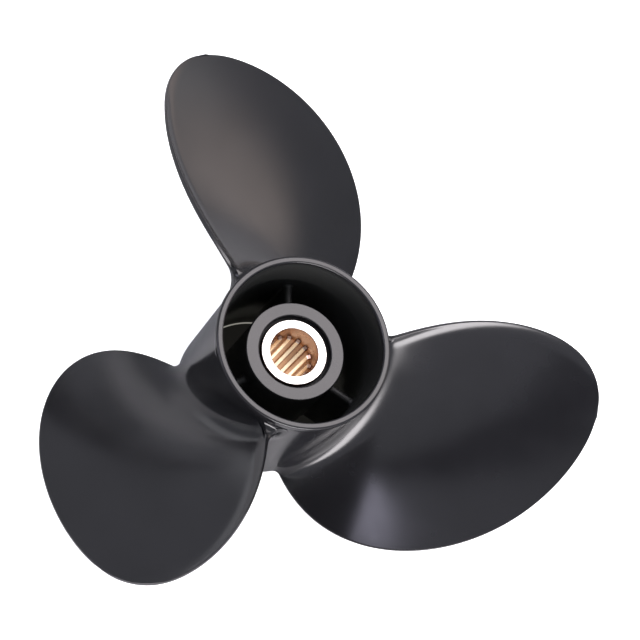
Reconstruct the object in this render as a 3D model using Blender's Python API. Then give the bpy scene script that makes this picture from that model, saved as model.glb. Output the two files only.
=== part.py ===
"""Three-blade right-hand boat propeller with exhaust through its barrel, standing on its forward end.

Run with blender --background --python part.py, or from Blender's text editor. The shaft axis is +Z, the forward
end of the barrel lies on z = 0 and the aft end, seen in the photograph, faces up. Lengths are in metres.
"""

import math

import bmesh
import bpy
import numpy as np

MM = 0.001
ASSEMBLY_GAP = 0.3 * MM

# The barrel: a slightly tapered tube, with a flared and lipped aft end
BARREL_LENGTH = 102 * MM
BARREL_FORWARD_RADIUS = 48.4 * MM
BARREL_AFT_RADIUS = 49 * MM
RIM_RADIUS = 50.3 * MM
RIM_HEIGHT = 4 * MM
RIM_SLOPE_HEIGHT = 5 * MM
RIM_ROUND = 0.8 * MM
RIM_ROUND_SEGMENTS = 2
PASSAGE_RADIUS = 44.4 * MM
RIM_BORE_RADIUS = 46.4 * MM
FLARE_HEIGHT = 22 * MM
EDGE_BREAK = 0.6 * MM

# The inner hub, which carries the rubber bush behind a lip
HUB_FORWARD = 16 * MM
HUB_AFT = BARREL_LENGTH - 17.5 * MM
HUB_RADIUS = 28.6 * MM
HUB_BORE_RADIUS = 24.4 * MM
LIP_BORE_RADIUS = 21.1 * MM
LIP_THICKNESS = 4 * MM

# The ribs that join the inner hub to the barrel, under the middle of each blade root
RIB_THICKNESS = 4.4 * MM
RIB_AFT = BARREL_LENGTH - 31 * MM
RIB_DEGREES = 6.6
RIB_FORWARD = 20 * MM
RIB_OVERLAP = 1.2 * MM
RIB_EDGE_SEGMENTS = 4

# The splined sleeve and the rubber bush round it
SLEEVE_FORWARD = 14 * MM
SLEEVE_AFT = BARREL_LENGTH - 19.4 * MM
SLEEVE_RADIUS = 19 * MM
SLEEVE_BORE_RADIUS = 14 * MM
COUNTERBORE_DEPTH = 15 * MM
SPLINE_TEETH = 15
SPLINE_ROOT_RADIUS = 13.5 * MM
SPLINE_TIP_RADIUS = 12.2 * MM
SPLINE_LEAD = 1.2 * MM
FIRST_TOOTH_DEGREES = 19.5

# The blades: a helical face, raked aft, whose outline is a middle angle plus and minus a half width
BLADE_COUNT = 3
FIRST_BLADE_DEGREES = 90
TIP_RADIUS = 175 * MM
OUTLINE_ROOT_RADIUS = 46 * MM
MIDDLE_DEGREES = 5.3
SKEW_DEGREES = 21.8
SKEW_POWER = 2.5
EARLY_SKEW_DEGREES = 11.3
HALF_WIDTH_DEGREES = 42.4
WIDTH_POWER = 1.92
TIP_FULLNESS = 0.536
SHOULDER_DEGREES = 9.8
PITCH = 363.5 * MM
FACE_HEIGHT_AT_ROOT = BARREL_LENGTH - 64.9 * MM
RAKE = 0.385
RAKE_EASING = 0.4
ROOT_THICKNESS = 9 * MM
TIP_THICKNESS = 3.2 * MM
THICKNESS_POWER = 3.0
BLADE_SINK = 0.8 * MM
CUP_WIDTH = 8 * MM
CUP_RISE = 1.8 * MM
CUP_FADE = 0.8
FACE_FILLET_RADIUS = 17 * MM
BACK_FILLET_RADIUS = 14 * MM
LEADING_FILLET_RADIUS = 3 * MM
TRAILING_FILLET_RADIUS = 9 * MM
FORWARD_CLEARANCE = 0.6 * MM
FILLET_ROWS = 6
BLADE_ROWS = 18
FACE_POINTS = 15

# How finely the round parts are divided
BARREL_SEGMENTS = 72
SLEEVE_SEGMENTS = 90
POINTS_PER_TOOTH = SLEEVE_SEGMENTS // SPLINE_TEETH


def clear_scene():
    for thing in list(bpy.data.objects):
        bpy.data.objects.remove(thing, do_unlink=True)


def make_material(name, colour, roughness, metallic):
    material = bpy.data.materials.new(name)
    material.use_nodes = True
    shader = material.node_tree.nodes["Principled BSDF"]
    shader.inputs["Base Color"].default_value = (*colour, 1.0)
    shader.inputs["Roughness"].default_value = roughness
    shader.inputs["Metallic"].default_value = metallic
    return material


def mesh_object(name, points, faces, material=None):
    """A smooth-shaded mesh object whose faces all point out."""
    mesh = bpy.data.meshes.new(name)
    mesh.from_pydata([tuple(point) for point in points], [], faces)
    shape = bmesh.new()
    shape.from_mesh(mesh)
    bmesh.ops.recalc_face_normals(shape, faces=shape.faces)
    for face in shape.faces:
        face.smooth = True
    shape.to_mesh(mesh)
    shape.free()
    thing = bpy.data.objects.new(name, mesh)
    bpy.context.scene.collection.objects.link(thing)
    if material:
        mesh.materials.append(material)
    return thing


def ring_faces(rings, segments):
    """Quads between rings of points, the last ring joined to the first."""
    faces = []
    for ring in range(rings):
        following = (ring + 1) % rings
        for step in range(segments):
            ahead = (step + 1) % segments
            faces.append(
                (
                    ring * segments + step,
                    ring * segments + ahead,
                    following * segments + ahead,
                    following * segments + step,
                )
            )
    return faces


def revolve(name, profile, segments, material=None, start=0.0):
    """Turns a closed profile of (radius, height) round the shaft axis. A radius may be a function of the step."""
    points = []
    for radius, height in profile:
        for step in range(segments):
            angle = start + 2 * math.pi * step / segments
            reach = radius(step) if callable(radius) else radius
            points.append((reach * math.cos(angle), reach * math.sin(angle), height))
    return mesh_object(name, points, ring_faces(len(profile), segments), material)


def rim_round():
    """The quarter round between the rim's side and its end face."""
    points = []
    for step in range(RIM_ROUND_SEGMENTS + 1):
        turn = math.pi / 2 * step / RIM_ROUND_SEGMENTS
        reach = RIM_RADIUS - RIM_ROUND * (1 - math.cos(turn))
        points.append((reach, BARREL_LENGTH - RIM_ROUND * (1 - math.sin(turn))))
    return points


def barrel_profile():
    rim_foot = BARREL_LENGTH - RIM_HEIGHT
    return [
        (PASSAGE_RADIUS + EDGE_BREAK, 0.0),
        (BARREL_FORWARD_RADIUS - EDGE_BREAK, 0.0),
        (BARREL_FORWARD_RADIUS, EDGE_BREAK),
        (BARREL_AFT_RADIUS, rim_foot - RIM_SLOPE_HEIGHT),
        (RIM_RADIUS, rim_foot),
        *rim_round(),
        (RIM_BORE_RADIUS + EDGE_BREAK, BARREL_LENGTH),
        (RIM_BORE_RADIUS, BARREL_LENGTH - EDGE_BREAK),
        (PASSAGE_RADIUS, BARREL_LENGTH - FLARE_HEIGHT),
        (PASSAGE_RADIUS, EDGE_BREAK),
    ]


def hub_profile():
    lip_foot = HUB_AFT - LIP_THICKNESS
    return [
        (HUB_BORE_RADIUS, HUB_FORWARD),
        (HUB_RADIUS, HUB_FORWARD),
        (HUB_RADIUS, HUB_AFT - EDGE_BREAK),
        (HUB_RADIUS - EDGE_BREAK, HUB_AFT),
        (LIP_BORE_RADIUS + EDGE_BREAK, HUB_AFT),
        (LIP_BORE_RADIUS, HUB_AFT - EDGE_BREAK),
        (LIP_BORE_RADIUS, lip_foot),
        (HUB_BORE_RADIUS, lip_foot),
    ]


def make_rib(name, degrees):
    """A flat web with a rounded aft edge, reaching a little into the hub and the barrel wall."""
    inner = HUB_RADIUS - RIB_OVERLAP
    outer = PASSAGE_RADIUS + RIB_OVERLAP
    half = RIB_THICKNESS / 2
    outline = [(half, RIB_FORWARD)]
    for step in range(RIB_EDGE_SEGMENTS + 1):
        turn = math.pi * step / RIB_EDGE_SEGMENTS
        outline.append((half * math.cos(turn), RIB_AFT - half + half * math.sin(turn)))
    outline.append((-half, RIB_FORWARD))
    angle = math.radians(degrees)
    along = (math.cos(angle), math.sin(angle))
    across = (-along[1], along[0])
    points = []
    for reach in (inner, outer):
        for side, height in outline:
            points.append((reach * along[0] + side * across[0], reach * along[1] + side * across[1], height))
    count = len(outline)
    faces = [
        (step, (step + 1) % count, count + (step + 1) % count, count + step)
        for step in range(count)
    ]
    faces.append(tuple(reversed(range(count))))
    faces.append(tuple(range(count, 2 * count)))
    return mesh_object(name, points, faces)


def outline_angles(radius):
    """The angles of the leading and trailing edges at this radius, from the blade's own zero line."""
    share = max(0.0, min(1.0, (radius - OUTLINE_ROOT_RADIUS) / (TIP_RADIUS - OUTLINE_ROOT_RADIUS)))
    middle = MIDDLE_DEGREES + SKEW_DEGREES * share**SKEW_POWER + EARLY_SKEW_DEGREES * share * (1 - share)
    half_width = HALF_WIDTH_DEGREES * (1 - share**WIDTH_POWER) ** TIP_FULLNESS
    half_width += SHOULDER_DEGREES * share * (1 - 2 * share) * math.sqrt(1 - share)
    return math.radians(middle - half_width), math.radians(middle + half_width)


def face_height(radius, angle):
    """The height of the helical pressure face."""
    reach = radius - OUTLINE_ROOT_RADIUS
    return FACE_HEIGHT_AT_ROOT + RAKE * reach - RAKE_EASING * reach**2 + PITCH * angle / (2 * math.pi)


def fillet_growth(radius, share, middle):
    """How far the section grows where the blade runs into the barrel: a quarter round, of its own size at the edges."""
    edge = LEADING_FILLET_RADIUS + (TRAILING_FILLET_RADIUS - LEADING_FILLET_RADIUS) * share
    fillet = edge + (middle - edge) * math.sqrt(max(0.0, math.sin(math.pi * share)))
    clear = min(max(radius - BARREL_AFT_RADIUS, 0.0), fillet)
    return fillet - math.sqrt(fillet**2 - (fillet - clear) ** 2)


def section(radius):
    """One closed section of the blade as (arc length, height), with both faces, unrolled from its cylinder."""
    leading, trailing = outline_angles(radius)
    share_out = (radius - OUTLINE_ROOT_RADIUS) / (TIP_RADIUS - OUTLINE_ROOT_RADIUS)
    thickness = ROOT_THICKNESS + (TIP_THICKNESS - ROOT_THICKNESS) * max(0.0, share_out)
    chord = math.hypot(radius * (trailing - leading), PITCH * (trailing - leading) / (2 * math.pi))
    thickness = min(thickness, 0.5 * chord)
    slope = math.atan2(PITCH, 2 * math.pi * radius)
    normal = np.array([-math.sin(slope), math.cos(slope)])
    shares = [(1 - math.cos(math.pi * step / FACE_POINTS)) / 2 for step in range(FACE_POINTS + 1)]
    cup = CUP_RISE * min(1.0, (1 - share_out) / (1 - CUP_FADE))
    points = []
    growth = []
    for side, steps, fillet in ((0.0, shares, FACE_FILLET_RADIUS), (1.0, shares[-2:0:-1], BACK_FILLET_RADIUS)):
        for share in steps:
            angle = leading + (trailing - leading) * share
            depth = side * thickness * math.sqrt(1 - abs(2 * share - 1) ** THICKNESS_POWER)
            rise = cup * max(0.0, 1 - (1 - share) * chord / CUP_WIDTH) ** 2
            points.append(np.array([radius * angle, face_height(radius, angle)]) + (rise - depth) * normal)
            growth.append(fillet_growth(radius, share, fillet))
    points = np.array(points)
    ahead = np.roll(points, -1, axis=0) - np.roll(points, 1, axis=0)
    outward = np.column_stack([-ahead[:, 1], ahead[:, 0]])
    outward /= np.linalg.norm(outward, axis=1)[:, None]
    points += outward * np.array(growth)[:, None]
    points[:, 1] = np.maximum(points[:, 1], FORWARD_CLEARANCE)
    return points


def blade_radii():
    """Section radii: from inside the barrel wall, close together on the fillet and again at the tip."""
    fillet_top = BARREL_AFT_RADIUS + FACE_FILLET_RADIUS
    radii = [BARREL_FORWARD_RADIUS - BLADE_SINK]
    for step in range(FILLET_ROWS):
        radii.append(BARREL_AFT_RADIUS + FACE_FILLET_RADIUS * (step / FILLET_ROWS) ** 2)
    for step in range(BLADE_ROWS):
        radii.append(fillet_top + (TIP_RADIUS - fillet_top) * math.sin(math.pi / 2 * step / BLADE_ROWS))
    return radii


def root_cap(count):
    """Closes the root inside the barrel wall, in strips from the pressure face to the back that follow the wall."""
    faces = [(0, 1, count - 1)]
    for step in range(1, FACE_POINTS - 1):
        faces.append((step, step + 1, count - step - 1, count - step))
    faces.append((FACE_POINTS - 1, FACE_POINTS, FACE_POINTS + 1))
    return faces


def make_blade(name, degrees):
    start = math.radians(degrees)
    points = []
    radii = blade_radii()
    for radius in radii:
        for arc, height in section(radius):
            angle = start + arc / radius
            points.append((radius * math.cos(angle), radius * math.sin(angle), height))
    count = len(points) // len(radii)
    faces = [face for face in ring_faces(len(radii), count) if max(face) - min(face) < 2 * count]
    faces += root_cap(count)
    tip_leading, tip_trailing = outline_angles(TIP_RADIUS)
    tip_angle = (tip_leading + tip_trailing) / 2
    tip_height = face_height(TIP_RADIUS, tip_angle)
    points.append(
        (TIP_RADIUS * math.cos(start + tip_angle), TIP_RADIUS * math.sin(start + tip_angle), tip_height)
    )
    last = (len(radii) - 1) * count
    for step in range(count):
        faces.append((last + step, last + (step + 1) % count, len(points) - 1))
    return mesh_object(name, points, faces)


def make_casting(material):
    """Barrel, inner hub, ribs and blades, joined into the one piece that they are cast as."""
    casting = revolve("propeller_casting", barrel_profile(), BARREL_SEGMENTS, material)
    pieces = [revolve("hub_piece", hub_profile(), BARREL_SEGMENTS)]
    for number in range(BLADE_COUNT):
        turn = FIRST_BLADE_DEGREES + 360 * number / BLADE_COUNT
        pieces.append(make_rib(f"rib_piece_{number + 1}", turn + RIB_DEGREES))
        pieces.append(make_blade(f"blade_piece_{number + 1}", turn))
    for piece in pieces:
        piece.hide_render = True
        piece.display_type = "WIRE"
        union = casting.modifiers.new(piece.name, "BOOLEAN")
        union.operation = "UNION"
        union.object = piece
    return casting


def make_bush(material):
    """The rubber bush between the inner hub and the splined sleeve."""
    inner = SLEEVE_RADIUS + ASSEMBLY_GAP
    outer = HUB_BORE_RADIUS - ASSEMBLY_GAP
    aft = HUB_AFT - LIP_THICKNESS - ASSEMBLY_GAP
    profile = [(inner, HUB_FORWARD), (outer, HUB_FORWARD), (outer, aft), (inner, aft)]
    return revolve("rubber_bush", profile, BARREL_SEGMENTS, material)


def spline_radius(step):
    """The bore radius at this step: the first half of each tooth's pitch is its tip, the rest is the root."""
    return SPLINE_TIP_RADIUS if step % POINTS_PER_TOOTH < POINTS_PER_TOOTH // 2 else SPLINE_ROOT_RADIUS


def make_sleeve(material):
    """The bronze sleeve: splined for most of its length, with a plain counterbore at its aft end."""
    spline_aft = SLEEVE_AFT - COUNTERBORE_DEPTH
    profile = [
        (spline_radius, SLEEVE_FORWARD),
        (SLEEVE_RADIUS, SLEEVE_FORWARD),
        (SLEEVE_RADIUS, SLEEVE_AFT),
        (SLEEVE_BORE_RADIUS, SLEEVE_AFT),
        (SLEEVE_BORE_RADIUS, spline_aft + SPLINE_LEAD),
        (spline_radius, spline_aft),
    ]
    start = math.radians(FIRST_TOOTH_DEGREES) - 2 * math.pi / SLEEVE_SEGMENTS
    return revolve("splined_sleeve", profile, SLEEVE_SEGMENTS, material, start)


def main():
    clear_scene()
    paint = make_material("black_paint", (0.028, 0.028, 0.031), 0.38, 0.0)
    rubber = make_material("black_rubber", (0.012, 0.012, 0.012), 0.75, 0.0)
    bronze = make_material("bronze", (0.55, 0.30, 0.16), 0.32, 1.0)
    make_casting(paint)
    make_bush(rubber)
    make_sleeve(bronze)


main()
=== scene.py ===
"""A three-blade boat propeller standing on its forward end in a white studio, seen from above its aft end.

Lengths are in metres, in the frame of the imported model: the shaft axis is +Z and the floor is z = 0.
"""

import math

import bmesh
import bpy
import numpy as np
from mathutils import Matrix, Vector


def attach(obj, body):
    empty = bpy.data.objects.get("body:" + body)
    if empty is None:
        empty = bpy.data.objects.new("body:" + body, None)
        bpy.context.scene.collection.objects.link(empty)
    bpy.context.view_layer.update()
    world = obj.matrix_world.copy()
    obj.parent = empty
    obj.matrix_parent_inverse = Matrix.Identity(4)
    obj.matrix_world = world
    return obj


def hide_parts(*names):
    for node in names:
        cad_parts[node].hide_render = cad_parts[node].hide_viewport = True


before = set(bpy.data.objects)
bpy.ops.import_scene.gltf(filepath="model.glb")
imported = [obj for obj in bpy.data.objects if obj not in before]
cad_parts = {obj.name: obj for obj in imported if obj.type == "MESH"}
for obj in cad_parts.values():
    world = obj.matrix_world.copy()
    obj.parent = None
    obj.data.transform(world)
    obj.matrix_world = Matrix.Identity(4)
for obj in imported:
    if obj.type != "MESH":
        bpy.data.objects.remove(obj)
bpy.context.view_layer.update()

MM = 0.001

# The camera of the photograph
CAMERA_PLACE = Vector((-0.2703, -0.3926, 1.1250))
CAMERA_AIM = Vector((0.0072, 0.0145, 0.102))
CAMERA_ROLL_DEGREES = 44.08
CAMERA_LENS = 115.1
CAMERA_SENSOR = 36.0

# The barrel: a slightly tapered tube, with a flared and lipped aft end
BARREL_LENGTH = 102 * MM
BARREL_FORWARD_RADIUS = 48.4 * MM
BARREL_AFT_RADIUS = 49 * MM
RIM_RADIUS = 50.3 * MM
RIM_HEIGHT = 4 * MM
RIM_SLOPE_HEIGHT = 5 * MM
RIM_ROUND = 1.3 * MM
RIM_BORE_ROUND = 1 * MM
PASSAGE_RADIUS = 44.4 * MM
RIM_BORE_RADIUS = 46.4 * MM
FLARE_HEIGHT = 22 * MM
FLARE_ROUND = 12 * MM
RIM_FOOT_ROUND = 4 * MM
SLOPE_FOOT_ROUND = 8 * MM
EDGE_ROUND = 0.6 * MM

# The inner hub, which carries the rubber bush behind a lip
HUB_FORWARD = 16 * MM
HUB_AFT = BARREL_LENGTH - 17.5 * MM
HUB_RADIUS = 28.6 * MM
HUB_BORE_RADIUS = 24.4 * MM
LIP_BORE_RADIUS = 21.1 * MM
LIP_THICKNESS = 4 * MM

# The ribs that join the inner hub to the barrel
RIB_THICKNESS = 4.4 * MM
RIB_AFT = BARREL_LENGTH - 31 * MM
RIB_DEGREES = 6.6
RIB_FORWARD = 20 * MM
RIB_OVERLAP = 1.2 * MM
RIB_FLARE = 2 * MM

# The splined sleeve and the rubber bush round it
ASSEMBLY_GAP = 0.3 * MM
SLEEVE_FORWARD = 14 * MM
SLEEVE_AFT = BARREL_LENGTH - 19.4 * MM
SLEEVE_RADIUS = 19 * MM
SLEEVE_BORE_RADIUS = 14 * MM
SLEEVE_EDGE_ROUND = 0.4 * MM
BORE_MOUTH_ROUND = 0.5 * MM
BUSH_EDGE_ROUND = 0.8 * MM
COUNTERBORE_DEPTH = 15 * MM
SPLINE_TEETH = 15
SPLINE_ROOT_RADIUS = 13.5 * MM
SPLINE_TIP_RADIUS = 12.2 * MM
SPLINE_LEAD = 1.2 * MM
FIRST_TOOTH_DEGREES = 19.5
LAND_SHARE = 0.36
FLANK_SHARE = 0.2

# The blades: a helical face, raked aft, whose outline is a middle angle plus and minus a half width
BLADE_COUNT = 3
FIRST_BLADE_DEGREES = 90
TIP_RADIUS = 174.9 * MM
OUTLINE_ROOT_RADIUS = 46 * MM
MIDDLE_DEGREES = 5.38
SKEW_DEGREES = 21.8
SKEW_POWER = 2.5
EARLY_SKEW_DEGREES = 11.3
HALF_WIDTH_DEGREES = 42.32
WIDTH_POWER = 1.92
TIP_FULLNESS = 0.536
SHOULDER_DEGREES = 9.8
PITCH = 363.5 * MM
FACE_HEIGHT_AT_ROOT = BARREL_LENGTH - 64.9 * MM
RAKE = 0.385
RAKE_EASING = 0.4
ROOT_THICKNESS = 9 * MM
TIP_THICKNESS = 3.2 * MM
THICKNESS_POWER = 3.0
EDGE_THICKNESS = 3.0 * MM
MOST_EDGE_SHARE = 0.3
MOST_THICKNESS_SHARE = 0.5
TRAILING_SQUARENESS = 4.5
LEADING_SQUARENESS = 2.0
CUP_WIDTH = 8 * MM
CUP_RISE = 1.8 * MM
CUP_FADE = 0.8
FACE_FILLET_RADIUS = 17 * MM
BACK_FILLET_RADIUS = 14 * MM
LEADING_FILLET_RADIUS = 3 * MM
TRAILING_FILLET_RADIUS = 8 * MM
BACK_TRAILING_FILLET_RADIUS = 11 * MM
FORWARD_CLEARANCE = 0.6 * MM
BLADE_SINK = 0.9 * MM

# How finely the shapes are divided
ROUND_SEGMENTS = 240
LONGEST_STEP = 3 * MM
FACE_POINTS = 56
EDGE_POINTS = 10
FILLET_ROWS = 10
BLADE_ROWS = 80
POINTS_PER_TOOTH = 16
ARC_STEPS = 5
SHARP_DEGREES = 35
CARD_SEGMENTS = 96

# The floor, and the round cards on it that set how light the passages and the bore look from above: the dark
# card is painted shade in the passages, and the glowing cards are painted light for the bore and round the
# outer edge of the passages
FLOOR_HALF_WIDTH = 6.0
FLOOR_HEIGHT = -0.2 * MM
FLOOR_COLOUR = (0.88, 0.88, 0.88)
CARD_GLOW_COLOUR = (1.0, 0.98, 0.86)
GLOW_DEGREES = 55.5
GLOW_START = -17 * MM
GLOW_END = 4 * MM
# Each card: its name, radius, height and grey, then its glow at the two ends of the range above
CARDS = [
    ("ring_glow_card", PASSAGE_RADIUS + 1 * MM, -0.15 * MM, 0.3, 0.25, 0.25),
    ("painted_shade_card", PASSAGE_RADIUS - 0.6 * MM, -0.1 * MM, 0.03, 0.008, 0.008),
    ("bore_glow_card", SLEEVE_RADIUS, 0.0, 0.2, 0.2, 2.0),
]

# The studio light, which is the same from everywhere apart from the panels
BASE_LIGHT = (0.57, 0.58, 0.64)
# Each light or dark panel: degrees to the right of and above the camera's own direction, as seen in the
# picture, then half width and half height in degrees, edge softness, turn in degrees, and colour
LIGHTS = [
    (37, 37, 16, 16, 0.35, 0, (5.3, 4.95, 5.05)),
    (97, 18, 14, 17, 1.0, 0, (1.7, 1.4, 1.25)),
    (76, 34, 7, 8, 1.0, 0, (0.9, 0.9, 0.9)),
    (-33, 23, 5, 14, 0.8, -28, (4.2, 4.05, 5.1)),
    (0, -67, 26, 17, 0.45, 0, (14.5, 13.9, 14.2)),
    (-46, 82, 16, 10, 1.0, 30, (1.0, 1.0, 1.05)),
    (-66, 15, 8, 16, 1.0, 0, (0.35, 0.35, 0.35)),
]
FLAGS = [
    (-46, 20, 6, 28, 0.5, 0, 0.9),
    (-3, 2, 34, 6, 0.7, -4, 1.0),
    (32, 102, 14, 6, 0.8, 20, 0.45),
]


def mesh_object(name, points, faces):
    mesh = bpy.data.meshes.new(name)
    mesh.from_pydata([tuple(point) for point in points], [], faces)
    shape = bmesh.new()
    shape.from_mesh(mesh)
    bmesh.ops.recalc_face_normals(shape, faces=shape.faces)
    shape.to_mesh(mesh)
    shape.free()
    thing = bpy.data.objects.new(name, mesh)
    bpy.context.scene.collection.objects.link(thing)
    return thing


def ring_faces(rings, segments, closed=True):
    """Quads between rings of points, with the last ring joined to the first when closed."""
    faces = []
    for ring in range(rings if closed else rings - 1):
        following = (ring + 1) % rings
        for step in range(segments):
            ahead = (step + 1) % segments
            faces.append(
                (
                    ring * segments + step,
                    ring * segments + ahead,
                    following * segments + ahead,
                    following * segments + step,
                )
            )
    return faces


def rounded(corners):
    """A closed outline through (x, y, round) corners, each turned with an arc of its own radius."""
    count = len(corners)
    outline = []
    for index, (x, y, radius) in enumerate(corners):
        here = np.array([x, y])
        before = np.array(corners[index - 1][:2]) - here
        after = np.array(corners[(index + 1) % count][:2]) - here
        before /= np.linalg.norm(before)
        after /= np.linalg.norm(after)
        opening = math.acos(max(-1.0, min(1.0, float(before @ after))))
        if radius <= 0 or opening > math.pi - 1e-4:
            outline.append(here)
            continue
        reach = radius / math.tan(opening / 2)
        middle = before + after
        middle /= np.linalg.norm(middle)
        centre = here + middle * radius / math.sin(opening / 2)
        start = here + before * reach - centre
        turn = math.pi - opening
        if start[1] * before[0] - start[0] * before[1] < 0:
            turn = -turn
        for step in range(ARC_STEPS + 1):
            angle = turn * step / ARC_STEPS
            outline.append(
                centre
                + np.array(
                    [
                        start[0] * math.cos(angle) - start[1] * math.sin(angle),
                        start[0] * math.sin(angle) + start[1] * math.cos(angle),
                    ]
                )
            )
    return outline


def divided(outline):
    """The same closed outline with its long stretches divided."""
    points = []
    for here, ahead in zip(outline, outline[1:] + outline[:1]):
        pieces = max(1, math.ceil(np.linalg.norm(ahead - here) / LONGEST_STEP))
        points += [here + (ahead - here) * step / pieces for step in range(pieces)]
    return points


def revolve(name, outline):
    """Turns a closed outline of (radius, height) points, which runs clockwise, round the shaft axis."""
    angles = 2 * np.pi * np.arange(ROUND_SEGMENTS) / ROUND_SEGMENTS
    around = np.column_stack([np.cos(angles), np.sin(angles)])
    points = []
    for radius, height in outline:
        points += [(radius * x, radius * y, height) for x, y in around]
    return mesh_object(name, points, ring_faces(len(outline), ROUND_SEGMENTS))


def barrel_outline():
    rim_foot = BARREL_LENGTH - RIM_HEIGHT
    return divided(
        rounded(
            [
                (PASSAGE_RADIUS, 0.0, EDGE_ROUND),
                (PASSAGE_RADIUS, BARREL_LENGTH - FLARE_HEIGHT, FLARE_ROUND),
                (RIM_BORE_RADIUS, BARREL_LENGTH, RIM_BORE_ROUND),
                (RIM_RADIUS, BARREL_LENGTH, RIM_ROUND),
                (RIM_RADIUS, rim_foot, RIM_FOOT_ROUND),
                (BARREL_AFT_RADIUS, rim_foot - RIM_SLOPE_HEIGHT, SLOPE_FOOT_ROUND),
                (BARREL_FORWARD_RADIUS, 0.0, EDGE_ROUND),
            ]
        )
    )


def barrel_radius(height):
    """The outer radius of the barrel at these heights."""
    slope_foot = BARREL_LENGTH - RIM_HEIGHT - RIM_SLOPE_HEIGHT
    heights = [0.0, slope_foot, BARREL_LENGTH - RIM_HEIGHT]
    return np.interp(height, heights, [BARREL_FORWARD_RADIUS, BARREL_AFT_RADIUS, RIM_RADIUS])


def hub_outline():
    lip_foot = HUB_AFT - LIP_THICKNESS
    return divided(
        rounded(
            [
                (HUB_BORE_RADIUS, HUB_FORWARD, EDGE_ROUND),
                (HUB_BORE_RADIUS, lip_foot, 0.0),
                (LIP_BORE_RADIUS, lip_foot, EDGE_ROUND),
                (LIP_BORE_RADIUS, HUB_AFT, EDGE_ROUND),
                (HUB_RADIUS, HUB_AFT, EDGE_ROUND),
                (HUB_RADIUS, HUB_FORWARD, EDGE_ROUND),
            ]
        )
    )


def quarter_round(clear, radius):
    """How far a fillet of this radius stands out from a wall's face, at this clearance from the base."""
    inside = np.clip(clear, 0.0, radius)
    return radius - np.sqrt(np.maximum(radius**2 - (radius - inside) ** 2, 0.0))


def make_rib(name, degrees):
    """A flat web with a rounded aft edge, which flares into the hub and into the barrel wall."""
    half = RIB_THICKNESS / 2
    turns = np.linspace(0.0, np.pi, 13)
    sides = np.concatenate([[half], half * np.cos(turns), [-half]])
    heights = np.concatenate([[RIB_FORWARD], RIB_AFT - half + half * np.sin(turns), [RIB_FORWARD]])
    out_sides = np.concatenate([[1.0], np.cos(turns), [-1.0]])
    out_heights = np.concatenate([[0.0], np.sin(turns), [0.0]])
    reaches = np.concatenate(
        [
            [HUB_RADIUS - RIB_OVERLAP],
            HUB_RADIUS + RIB_FLARE * (1 - np.cos(np.linspace(0.0, np.pi / 2, 8))),
            PASSAGE_RADIUS - RIB_FLARE * (1 - np.cos(np.linspace(np.pi / 2, 0.0, 8))),
            [PASSAGE_RADIUS + RIB_OVERLAP],
        ]
    )
    angle = math.radians(degrees)
    along = np.array([math.cos(angle), math.sin(angle)])
    across = np.array([-along[1], along[0]])
    points = []
    for reach in reaches:
        clear = min(reach - HUB_RADIUS, PASSAGE_RADIUS - reach)
        growth = float(quarter_round(clear, RIB_FLARE))
        for side, height in zip(sides + growth * out_sides, heights + growth * out_heights):
            points.append((*(reach * along + side * across), height))
    count = len(sides)
    faces = ring_faces(len(reaches), count, closed=False)
    faces.append(tuple(range(count)))
    faces.append(tuple(range(len(points) - count, len(points))))
    return mesh_object(name, points, faces)


def outline_angles(radius):
    """The angles of the leading and trailing edges at these radii, from the blade's own zero line."""
    share = np.clip((radius - OUTLINE_ROOT_RADIUS) / (TIP_RADIUS - OUTLINE_ROOT_RADIUS), 0.0, 1.0)
    middle = MIDDLE_DEGREES + SKEW_DEGREES * share**SKEW_POWER + EARLY_SKEW_DEGREES * share * (1 - share)
    half_width = HALF_WIDTH_DEGREES * (1 - share**WIDTH_POWER) ** TIP_FULLNESS
    half_width += SHOULDER_DEGREES * share * (1 - 2 * share) * np.sqrt(1 - share)
    return np.radians(middle - half_width), np.radians(middle + half_width)


def face_height(radius, angle):
    """The height of the helical pressure face."""
    reach = radius - OUTLINE_ROOT_RADIUS
    return FACE_HEIGHT_AT_ROOT + RAKE * reach - RAKE_EASING * reach**2 + PITCH * angle / (2 * np.pi)


def edge_cap(squareness):
    """How far a blade edge stands out and how deep it is, from one face round to the other."""
    turns = np.linspace(np.pi / 2, -np.pi / 2, EDGE_POINTS + 2)[1:-1]
    power = 2 / squareness
    out = np.abs(np.cos(turns)) ** power
    depth = (1 - np.sign(turns) * np.abs(np.sin(turns)) ** power) / 2
    return out, depth


def section_template():
    """One closed turn round a blade section: shares of the chord and of the depth, and reach of the edges."""
    along = (1 - np.cos(np.pi * np.arange(FACE_POINTS + 1) / FACE_POINTS)) / 2
    trailing_out, trailing_depth = edge_cap(TRAILING_SQUARENESS)
    leading_out, leading_depth = edge_cap(LEADING_SQUARENESS)
    one = np.ones(EDGE_POINTS)
    chord_share = np.concatenate([along, one, along[::-1], 0 * one])
    depth_share = np.concatenate([0 * along, trailing_depth, 0 * along + 1, leading_depth[::-1]])
    edge_reach = np.concatenate([0 * along, trailing_out, 0 * along, -leading_out[::-1]])
    return chord_share, depth_share, edge_reach


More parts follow.
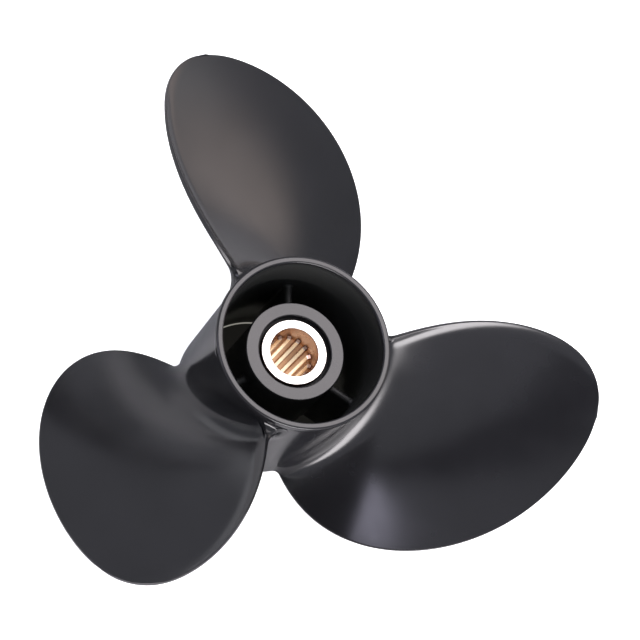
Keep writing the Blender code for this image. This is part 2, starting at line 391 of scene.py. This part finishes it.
def blade_section(radius, growth):
    """The angles and heights of a closed section, with a radius for each point, grown outwards by a fillet."""
    chord_share, depth_share, edge_reach = section_template()
    leading, trailing = outline_angles(radius)
    slope = np.arctan2(PITCH, 2 * np.pi * radius)
    chord = np.maximum(radius * (trailing - leading) / np.cos(slope), 1e-6)
    reach = np.clip((radius - OUTLINE_ROOT_RADIUS) / (TIP_RADIUS - OUTLINE_ROOT_RADIUS), 0.0, 1.0)
    edge = np.minimum(EDGE_THICKNESS, MOST_EDGE_SHARE * chord)
    tapered = ROOT_THICKNESS + (TIP_THICKNESS - ROOT_THICKNESS) * reach
    thickness = np.minimum(tapered, MOST_THICKNESS_SHARE * chord)
    depth = edge + (thickness - edge) * (1 - np.abs(2 * chord_share - 1) ** (THICKNESS_POWER + 1))
    place = edge / 2 + (chord - edge) * chord_share + edge_reach * edge / 2
    cup_share = np.clip(1 - (chord - place) / CUP_WIDTH, 0.0, 1.0)
    cup = CUP_RISE * cup_share**2 * np.clip((1 - reach) / (1 - CUP_FADE), 0.0, 1.0)
    tip_share = np.clip(1 - (TIP_RADIUS - radius) / (TIP_THICKNESS / 2), 0.0, 1.0)
    tip_round = np.sqrt(1 - tip_share**2)
    normal_place = cup - depth * depth_share * tip_round - (1 - tip_round) * edge / 2
    outline = np.column_stack([place, normal_place])
    ahead = np.roll(outline, -1, axis=0) - np.roll(outline, 1, axis=0)
    outward = np.column_stack([-ahead[:, 1], ahead[:, 0]])
    outward /= np.maximum(np.linalg.norm(outward, axis=1), 1e-9)[:, None]
    outline = outline + outward * growth[:, None]
    arc = outline[:, 0] * np.cos(slope) - outline[:, 1] * np.sin(slope)
    height = outline[:, 0] * np.sin(slope) + outline[:, 1] * np.cos(slope)
    return leading + arc / radius, face_height(radius, leading) + height


def blade_rings():
    """All the sections of a blade: one in the barrel wall, then up the root fillet and out to the tip."""
    chord_share, depth_share, _ = section_template()
    trailing_growth = BACK_TRAILING_FILLET_RADIUS - TRAILING_FILLET_RADIUS
    trailing_fillet = TRAILING_FILLET_RADIUS + trailing_growth * depth_share
    edge_fillet = LEADING_FILLET_RADIUS + (trailing_fillet - LEADING_FILLET_RADIUS) * chord_share
    middle_fillet = FACE_FILLET_RADIUS + (BACK_FILLET_RADIUS - FACE_FILLET_RADIUS) * depth_share
    fullness = np.sqrt(np.maximum(np.sin(np.pi * chord_share), 0.0))
    fillet = edge_fillet + (middle_fillet - edge_fillet) * fullness
    middle = np.full_like(fillet, BARREL_AFT_RADIUS)
    _, height = blade_section(middle, fillet)
    base = barrel_radius(height)
    rings = [blade_section(base - BLADE_SINK, fillet + BLADE_SINK) + (base - BLADE_SINK,)]
    for turn in np.linspace(np.pi / 2, 0.0, FILLET_ROWS, endpoint=False):
        radius = base + fillet * (1 - math.sin(turn))
        rings.append(blade_section(radius, fillet * (1 - math.cos(turn))) + (radius,))
    top = base + fillet
    for turn in np.linspace(0.0, np.pi / 2, BLADE_ROWS, endpoint=False):
        radius = top + (TIP_RADIUS - top) * math.sin(turn)
        rings.append(blade_section(radius, 0 * fillet) + (radius,))
    return rings


def make_blade(name, degrees):
    start = math.radians(degrees)
    points = []
    rings = blade_rings()
    for angle, height, radius in rings:
        points += list(zip(radius * np.cos(start + angle), radius * np.sin(start + angle), height))
    count = len(points) // len(rings)
    faces = ring_faces(len(rings), count, closed=False)
    for step in range(count // 2 - 1):
        faces.append((step, step + 1, count - step - 2, count - step - 1))
    last = (len(rings) - 1) * count
    tip_leading, tip_trailing = outline_angles(TIP_RADIUS)
    tip_angle = (tip_leading + tip_trailing) / 2
    tip_height = face_height(TIP_RADIUS, tip_angle)
    points.append(
        (TIP_RADIUS * math.cos(start + tip_angle), TIP_RADIUS * math.sin(start + tip_angle), tip_height)
    )
    for step in range(count):
        faces.append((last + step, last + (step + 1) % count, len(points) - 1))
    blade = mesh_object(name, points, faces)
    cut_flat(blade, FORWARD_CLEARANCE)
    return blade


def cut_flat(thing, height):
    """Removes what lies below this height and closes the cut with a flat face."""
    shape = bmesh.new()
    shape.from_mesh(thing.data)
    everything = shape.verts[:] + shape.edges[:] + shape.faces[:]
    bmesh.ops.bisect_plane(
        shape, geom=everything, plane_co=(0, 0, height), plane_no=(0, 0, 1), clear_inner=True
    )
    bmesh.ops.holes_fill(shape, edges=[edge for edge in shape.edges if edge.is_boundary])
    shape.to_mesh(thing.data)
    shape.free()


def united(name, pieces):
    """One closed mesh from pieces that overlap, which are then removed."""
    first = pieces[0]
    for piece in pieces[1:]:
        union = first.modifiers.new(piece.name, "BOOLEAN")
        union.operation = "UNION"
        union.solver = "MANIFOLD"
        union.object = piece
    bpy.context.view_layer.update()
    evaluated = first.evaluated_get(bpy.context.evaluated_depsgraph_get())
    mesh = bpy.data.meshes.new_from_object(evaluated)
    mesh.name = name
    for piece in pieces:
        bpy.data.objects.remove(piece, do_unlink=True)
    shape = bmesh.new()
    shape.from_mesh(mesh)
    bmesh.ops.recalc_face_normals(shape, faces=shape.faces)
    shape.to_mesh(mesh)
    shape.free()
    thing = bpy.data.objects.new(name, mesh)
    bpy.context.scene.collection.objects.link(thing)
    return thing


def shade_smooth(thing):
    """Smooth shading with flat faces kept flat beside their rounded edges."""
    thing.data.shade_smooth()
    thing.data.set_sharp_from_angle(angle=math.radians(SHARP_DEGREES))
    weighted = thing.modifiers.new("flat_faces", "WEIGHTED_NORMAL")
    weighted.keep_sharp = True


def make_casting():
    """Barrel, inner hub, ribs and blades, in the one piece that they are cast as."""
    pieces = [revolve("barrel_piece", barrel_outline()), revolve("hub_piece", hub_outline())]
    for number in range(BLADE_COUNT):
        turn = FIRST_BLADE_DEGREES + 360 * number / BLADE_COUNT
        pieces.append(make_rib(f"rib_piece_{number + 1}", turn + RIB_DEGREES))
        pieces.append(make_blade(f"blade_piece_{number + 1}", turn))
    casting = united("cast_propeller", pieces)
    shade_smooth(casting)
    return casting


def spline_radius(angles):
    """The bore radius round the spline: teeth with sloping flanks between the tip and root circles."""
    turns = (angles - math.radians(FIRST_TOOTH_DEGREES)) * SPLINE_TEETH / (2 * np.pi)
    from_middle = np.abs(turns - np.round(turns)) * 2
    share = np.clip((from_middle - LAND_SHARE) / FLANK_SHARE, 0.0, 1.0)
    share = share * share * (3 - 2 * share)
    return SPLINE_TIP_RADIUS + (SPLINE_ROOT_RADIUS - SPLINE_TIP_RADIUS) * share


def make_sleeve():
    """The bronze sleeve: splined for most of its length, with a plain counterbore at its aft end."""
    spline_aft = SLEEVE_AFT - COUNTERBORE_DEPTH
    outline = divided(
        rounded(
            [
                (SPLINE_TIP_RADIUS, SLEEVE_FORWARD, 0.0),
                (SPLINE_TIP_RADIUS, spline_aft, 0.0),
                (SLEEVE_BORE_RADIUS, spline_aft + SPLINE_LEAD, 0.0),
                (SLEEVE_BORE_RADIUS, SLEEVE_AFT, BORE_MOUTH_ROUND),
                (SLEEVE_RADIUS, SLEEVE_AFT, SLEEVE_EDGE_ROUND),
                (SLEEVE_RADIUS, SLEEVE_FORWARD, SLEEVE_EDGE_ROUND),
            ]
        )
    )
    segments = SPLINE_TEETH * POINTS_PER_TOOTH
    angles = 2 * np.pi * np.arange(segments) / segments
    toothed = spline_radius(angles)
    points = []
    for radius, height in outline:
        depth = (SLEEVE_BORE_RADIUS - radius) / (SLEEVE_BORE_RADIUS - SPLINE_TIP_RADIUS)
        share = min(max(depth, 0.0), 1.0)
        reach = radius + share * (toothed - SPLINE_TIP_RADIUS)
        points += list(zip(reach * np.cos(angles), reach * np.sin(angles), np.full(segments, height)))
    sleeve = mesh_object("bronze_sleeve", points, ring_faces(len(outline), segments))
    shade_smooth(sleeve)
    return sleeve


def make_bush():
    """The rubber bush between the inner hub and the splined sleeve."""
    inner = SLEEVE_RADIUS + ASSEMBLY_GAP
    outer = HUB_BORE_RADIUS - ASSEMBLY_GAP
    aft = HUB_AFT - LIP_THICKNESS - ASSEMBLY_GAP
    corners = [
        (inner, HUB_FORWARD, BUSH_EDGE_ROUND),
        (inner, aft, BUSH_EDGE_ROUND),
        (outer, aft, BUSH_EDGE_ROUND),
        (outer, HUB_FORWARD, BUSH_EDGE_ROUND),
    ]
    bush = revolve("bonded_bush", divided(rounded(corners)))
    shade_smooth(bush)
    return bush


class Surface:
    """A material's node tree, with short calls to add and join its nodes."""

    def __init__(self, name):
        self.material = bpy.data.materials.new(name)
        self.material.use_nodes = True
        self.tree = self.material.node_tree
        self.shader = self.tree.nodes["Principled BSDF"]

    def add(self, kind, **settings):
        node = self.tree.nodes.new(kind)
        for key, value in settings.items():
            setattr(node, key, value)
        return node

    def join(self, source, target):
        self.tree.links.new(source, target)

    def place(self):
        return self.add("ShaderNodeTexCoord").outputs["Object"]

    def noise(self, place, scale, detail=3.0):
        node = self.add("ShaderNodeTexNoise")
        node.inputs["Scale"].default_value = scale
        node.inputs["Detail"].default_value = detail
        self.join(place, node.inputs["Vector"])
        return node.outputs["Fac"]

    def ranged(self, value, low, high, start=0.3, end=0.7):
        node = self.add("ShaderNodeMapRange")
        node.inputs["From Min"].default_value = start
        node.inputs["From Max"].default_value = end
        node.inputs["To Min"].default_value = low
        node.inputs["To Max"].default_value = high
        self.join(value, node.inputs["Value"])
        return node.outputs["Result"]

    def reach(self, place):
        """The distance from the shaft axis."""
        flat = self.add("ShaderNodeVectorMath", operation="MULTIPLY")
        self.join(place, flat.inputs[0])
        flat.inputs[1].default_value = (1.0, 1.0, 0.0)
        length = self.add("ShaderNodeVectorMath", operation="LENGTH")
        self.join(flat.outputs[0], length.inputs[0])
        return length.outputs["Value"]

    def blended(self, share, first, second):
        """A number between two, each given as a number or as another node's output."""
        node = self.add("ShaderNodeMix")
        self.join(share, node.inputs["Factor"])
        for socket, value in ((node.inputs["A"], first), (node.inputs["B"], second)):
            if isinstance(value, float):
                socket.default_value = value
            else:
                self.join(value, socket)
        return node.outputs["Result"]

    def mixed(self, share, first, second):
        """A colour between two, each given as numbers or as another node's output."""
        node = self.add("ShaderNodeMix", data_type="RGBA")
        self.join(share, node.inputs["Factor"])
        for socket, colour in ((node.inputs[6], first), (node.inputs[7], second)):
            if isinstance(colour, tuple):
                socket.default_value = (*colour, 1.0)
            else:
                self.join(colour, socket)
        return node.outputs[2]

    def bump(self, height, strength, distance):
        node = self.add("ShaderNodeBump")
        node.inputs["Strength"].default_value = strength
        node.inputs["Distance"].default_value = distance
        self.join(height, node.inputs["Height"])
        return node.outputs["Normal"]


def paint_material():
    """Black gloss paint over a casting, with a faint orange peel, and matt inside the exhaust passages."""
    surface = Surface("black_paint_finish")
    shader = surface.shader
    place = surface.place()
    reach = surface.reach(place)
    past_hub = surface.ranged(reach, 0.0, 1.0, HUB_RADIUS - 0.4 * MM, HUB_RADIUS - 0.1 * MM)
    in_rim = surface.ranged(reach, 1.0, 0.0, RIM_BORE_RADIUS - 0.4 * MM, RIM_BORE_RADIUS)
    inside = surface.blended(past_hub, 0.0, in_rim)
    tone = surface.ranged(surface.noise(place, 28.0), 0.0, 1.0)
    outer = surface.mixed(tone, (0.010, 0.010, 0.0115), (0.014, 0.014, 0.016))
    surface.join(surface.mixed(inside, outer, (0.018, 0.019, 0.018)), shader.inputs["Base Color"])
    gloss = surface.ranged(surface.noise(place, 60.0, detail=4.0), 0.16, 0.21)
    surface.join(surface.blended(inside, gloss, 0.5), shader.inputs["Roughness"])
    peel = surface.noise(place, 700.0, detail=1.0)
    surface.join(surface.bump(peel, 0.03, 0.05 * MM), shader.inputs["Normal"])
    shader.inputs["IOR"].default_value = 1.5
    return surface.material


def bronze_material():
    """Machined bronze, with a faint random tone in colour and gloss."""
    surface = Surface("bronze_finish")
    shader = surface.shader
    place = surface.place()
    tone = surface.noise(place, 160.0)
    bronze = surface.mixed(surface.ranged(tone, 0.0, 1.0), (0.56, 0.36, 0.27), (0.66, 0.43, 0.33))
    parts = surface.add("ShaderNodeSeparateXYZ")
    surface.join(place, parts.inputs[0])
    land_radius = (SPLINE_TIP_RADIUS + SPLINE_ROOT_RADIUS) / 2
    # Painted highlight and shade: the tooth lands are coloured near-white and the grooves between them dark
    # brown
    painted_land_highlight = surface.ranged(surface.reach(place), 1.0, 0.0, land_radius - 0.2 * MM, land_radius + 0.2 * MM)
    below = SLEEVE_AFT - COUNTERBORE_DEPTH
    in_spline = surface.ranged(parts.outputs["Z"], 1.0, 0.0, below, below + SPLINE_LEAD)
    on_face = surface.ranged(parts.outputs["Z"], 0.0, 1.0, SLEEVE_AFT - 0.3 * MM, SLEEVE_AFT - 0.1 * MM)
    toothed = surface.mixed(painted_land_highlight, (0.37, 0.17, 0.08), (0.95, 0.77, 0.60))
    colour = surface.mixed(in_spline, bronze, toothed)
    colour = surface.mixed(on_face, colour, (0.93, 0.88, 0.82))
    surface.join(colour, shader.inputs["Base Color"])
    surface.join(surface.ranged(tone, 0.24, 0.34), shader.inputs["Roughness"])
    shader.inputs["Metallic"].default_value = 1.0
    return surface.material


def rubber_material():
    """Matt black moulded rubber with a fine grain."""
    surface = Surface("rubber_finish")
    shader = surface.shader
    place = surface.place()
    grain = surface.noise(place, 1500.0)
    surface.join(
        surface.mixed(surface.ranged(grain, 0.0, 1.0), (0.008, 0.008, 0.008), (0.014, 0.014, 0.014)),
        shader.inputs["Base Color"],
    )
    surface.join(surface.ranged(grain, 0.6, 0.8), shader.inputs["Roughness"])
    surface.join(surface.bump(grain, 0.3, 0.1 * MM), shader.inputs["Normal"])
    return surface.material


def make_camera():
    data = bpy.data.cameras.new("camera")
    data.lens = CAMERA_LENS
    data.sensor_width = CAMERA_SENSOR
    camera = bpy.data.objects.new("camera", data)
    bpy.context.scene.collection.objects.link(camera)
    aim = (CAMERA_AIM - CAMERA_PLACE).to_track_quat("-Z", "Y").to_matrix().to_4x4()
    roll = Matrix.Rotation(math.radians(CAMERA_ROLL_DEGREES), 4, "Z")
    camera.matrix_world = Matrix.Translation(CAMERA_PLACE) @ aim @ roll
    bpy.context.scene.camera = camera
    return camera


def floor_material():
    """A matt white floor, which the camera sees as plain white."""
    surface = Surface("white_floor")
    shader = surface.shader
    shader.inputs["Base Color"].default_value = (*FLOOR_COLOUR, 1.0)
    seen = surface.add("ShaderNodeLightPath").outputs["Is Camera Ray"]
    surface.join(seen, shader.inputs["Emission Strength"])
    shader.inputs["Emission Color"].default_value = (1.0, 1.0, 1.0, 1.0)
    shader.inputs["Roughness"].default_value = 0.9
    shader.inputs["Specular IOR Level"].default_value = 0.0
    return surface.material


def make_floor():
    size = FLOOR_HALF_WIDTH
    points = [(-size, -size, 0), (size, -size, 0), (size, size, 0), (-size, size, 0)]
    floor = mesh_object("studio_floor", points, [(0, 1, 2, 3)])
    floor.location.z = FLOOR_HEIGHT
    floor.data.materials.append(floor_material())


def make_card(name, radius, height, grey, first_glow, last_glow):
    """A round card on the floor under the barrel: a dark one is painted shade, a glowing one painted light,
    and the glow may grow towards one side.
    """
    turns = 2 * np.pi * np.arange(CARD_SEGMENTS) / CARD_SEGMENTS
    points = [(radius * math.cos(turn), radius * math.sin(turn), height) for turn in turns]
    card = mesh_object(name, points, [tuple(range(CARD_SEGMENTS))])
    surface = Surface(f"{name}_surface")
    shader = surface.shader
    shader.inputs["Base Color"].default_value = (grey, grey, grey, 1.0)
    shader.inputs["Roughness"].default_value = 1.0
    shader.inputs["Specular IOR Level"].default_value = 0.0
    away = surface.add("ShaderNodeVectorMath", operation="DOT_PRODUCT")
    surface.join(surface.place(), away.inputs[0])
    towards = math.radians(GLOW_DEGREES)
    away.inputs[1].default_value = (math.cos(towards), math.sin(towards), 0)
    strength = surface.ranged(away.outputs["Value"], first_glow, last_glow, GLOW_START, GLOW_END)
    surface.join(strength, shader.inputs["Emission Strength"])
    shader.inputs["Emission Color"].default_value = (*CARD_GLOW_COLOUR, 1.0)
    card.data.materials.append(surface.material)


def make_world(camera):
    world = bpy.data.worlds.new("studio")
    bpy.context.scene.world = world
    world.use_nodes = True
    tree = world.node_tree
    nodes, links = tree.nodes, tree.links
    nodes.clear()
    axes = camera.matrix_world.to_3x3()

    def add(kind, **settings):
        node = nodes.new(kind)
        for key, value in settings.items():
            setattr(node, key, value)
        return node

    def maths(operation, *values):
        node = add("ShaderNodeMath", operation=operation)
        for socket, value in zip(node.inputs, values):
            if isinstance(value, (int, float)):
                socket.default_value = value
            else:
                links.new(value, socket)
        return node.outputs[0]

    direction = add("ShaderNodeTexCoord").outputs["Generated"]

    def along(axis):
        node = add("ShaderNodeVectorMath", operation="DOT_PRODUCT")
        links.new(direction, node.inputs[0])
        node.inputs[1].default_value = axis
        return node.outputs["Value"]

    def panel(right, above, half_width, half_height, softness, turn):
        """The share, from 0 to 1, of an oval panel in the direction that the world is looked up in."""
        away = math.radians(math.hypot(right, above))
        side = math.atan2(above, right)
        outward = Vector((math.cos(side), math.sin(side), 0))
        middle = outward * math.sin(away) + Vector((0, 0, math.cos(away)))
        radial = outward * math.cos(away) - Vector((0, 0, math.sin(away)))
        tangent = middle.cross(radial)
        lean = math.radians(turn) - side
        across = radial * math.cos(lean) + tangent * math.sin(lean)
        up = middle.cross(across)
        x = maths("DIVIDE", along(axes @ across), math.sin(math.radians(half_width)))
        y = maths("DIVIDE", along(axes @ up), math.sin(math.radians(half_height)))
        distance = maths("SQRT", maths("ADD", maths("MULTIPLY", x, x), maths("MULTIPLY", y, y)))
        share = add("ShaderNodeMapRange", interpolation_type="SMOOTHSTEP")
        links.new(distance, share.inputs["Value"])
        share.inputs["From Min"].default_value = 1 - softness / 2
        share.inputs["From Max"].default_value = 1 + softness / 2
        share.inputs["To Min"].default_value = 1.0
        share.inputs["To Max"].default_value = 0.0
        front = maths("GREATER_THAN", along(axes @ middle), 0.0)
        return maths("MULTIPLY", share.outputs["Result"], front)

    base = add("ShaderNodeRGB")
    base.outputs[0].default_value = (*BASE_LIGHT, 1.0)
    total = base.outputs[0]
    for *shape, strength in FLAGS:
        dark = maths("MULTIPLY_ADD", panel(*shape), -strength, 1.0)
        node = add("ShaderNodeVectorMath", operation="SCALE")
        links.new(total, node.inputs[0])
        links.new(dark, node.inputs["Scale"])
        total = node.outputs[0]
    for *shape, colour in LIGHTS:
        lit = add("ShaderNodeVectorMath", operation="SCALE")
        lit.inputs[0].default_value = colour
        links.new(panel(*shape), lit.inputs["Scale"])
        node = add("ShaderNodeVectorMath", operation="ADD")
        links.new(total, node.inputs[0])
        links.new(lit.outputs[0], node.inputs[1])
        total = node.outputs[0]
    studio = add("ShaderNodeBackground")
    links.new(total, studio.inputs["Color"])
    backdrop = add("ShaderNodeBackground")
    backdrop.inputs["Color"].default_value = (1.0, 1.0, 1.0, 1.0)
    mix = add("ShaderNodeMixShader")
    links.new(add("ShaderNodeLightPath").outputs["Is Camera Ray"], mix.inputs["Fac"])
    links.new(studio.outputs[0], mix.inputs[1])
    links.new(backdrop.outputs[0], mix.inputs[2])
    links.new(mix.outputs[0], add("ShaderNodeOutputWorld").inputs["Surface"])


def main():
    camera = make_camera()
    make_floor()
    for card in CARDS:
        make_card(*card)
    make_world(camera)
    for piece, node, slot, material in (
        (make_casting(), "propeller_casting", "black_paint", paint_material()),
        (make_sleeve(), "splined_sleeve", "bronze", bronze_material()),
        (make_bush(), "rubber_bush", "black_rubber", rubber_material()),
    ):
        piece.data.materials.clear()
        piece.data.materials.append(material)
        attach(piece, "root")
        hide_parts(node)
    bpy.context.scene.view_settings.view_transform = "Standard"
    bpy.context.view_layer.update()


main()
